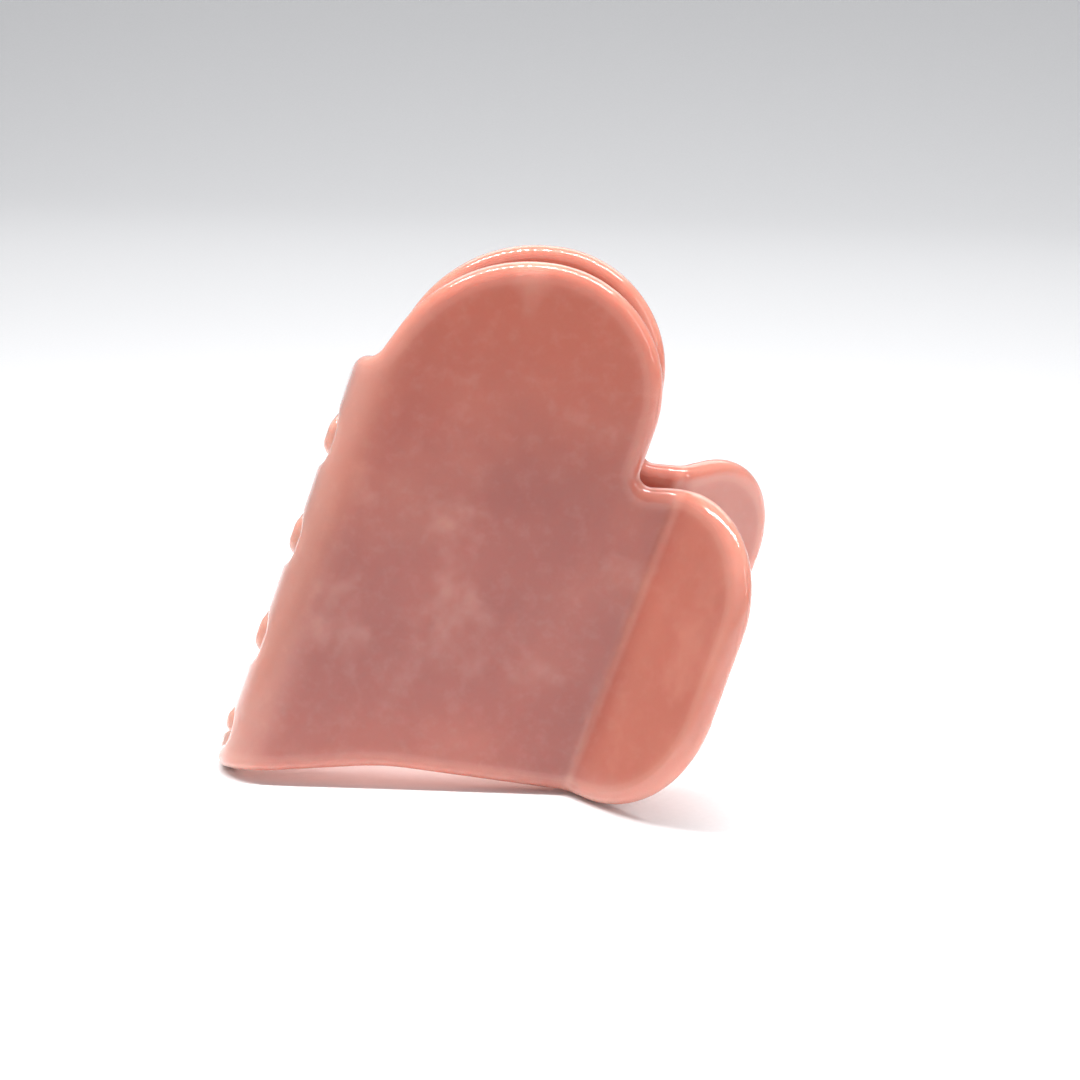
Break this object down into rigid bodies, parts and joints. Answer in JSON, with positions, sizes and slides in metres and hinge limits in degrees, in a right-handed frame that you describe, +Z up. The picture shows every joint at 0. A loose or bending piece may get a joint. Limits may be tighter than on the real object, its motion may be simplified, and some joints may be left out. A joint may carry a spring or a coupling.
{
  "type": "hair claw clip",
  "caption": "Heart-shaped acetate hair claw: two bent plates with interlocking fingers turn on a sprung pin and open when the flared handles are squeezed.",
  "frame": {"origin": "centre of the bounding box on the surface that the clip stands on", "axes": "+Z up; +X from the fingers towards the handles; -Y the front jaw, +Y the back jaw. The hinge axis is parallel to the XZ plane and leans 19.1 degrees from +Z towards +X"},
  "size_m": [0.087, 0.053, 0.0831],
  "materials": {
    "acetate": "polished marbled cellulose acetate",
    "lug_acetate": "polished acetate, bonded",
    "pin_steel": "bright plated steel",
    "spring_steel": "drawn spring wire"
  },
  "bodies": {
    "front_half": {"front_jaw": "acetate", "front_hinge_lug_lower": "lug_acetate", "front_hinge_lug_upper": "lug_acetate", "torsion_spring": "spring_steel"},
    "back_half": {"back_jaw": "acetate", "back_hinge_lug_lower": "lug_acetate", "back_hinge_lug_upper": "lug_acetate", "hinge_pin": "pin_steel"}
  },
  "joints": [
    {"name": "hinge", "type": "hinge", "parent": "front_half", "child": "back_half", "pos_m": [0.01708, -0.0014, 0.02621], "axis": [-0.3272, 0, -0.9449], "range_deg": [0, 85], "stiffness_Nm_per_rad": 0.12, "springref_deg": -34.38, "deforming": ["torsion_spring"]}
  ]
}
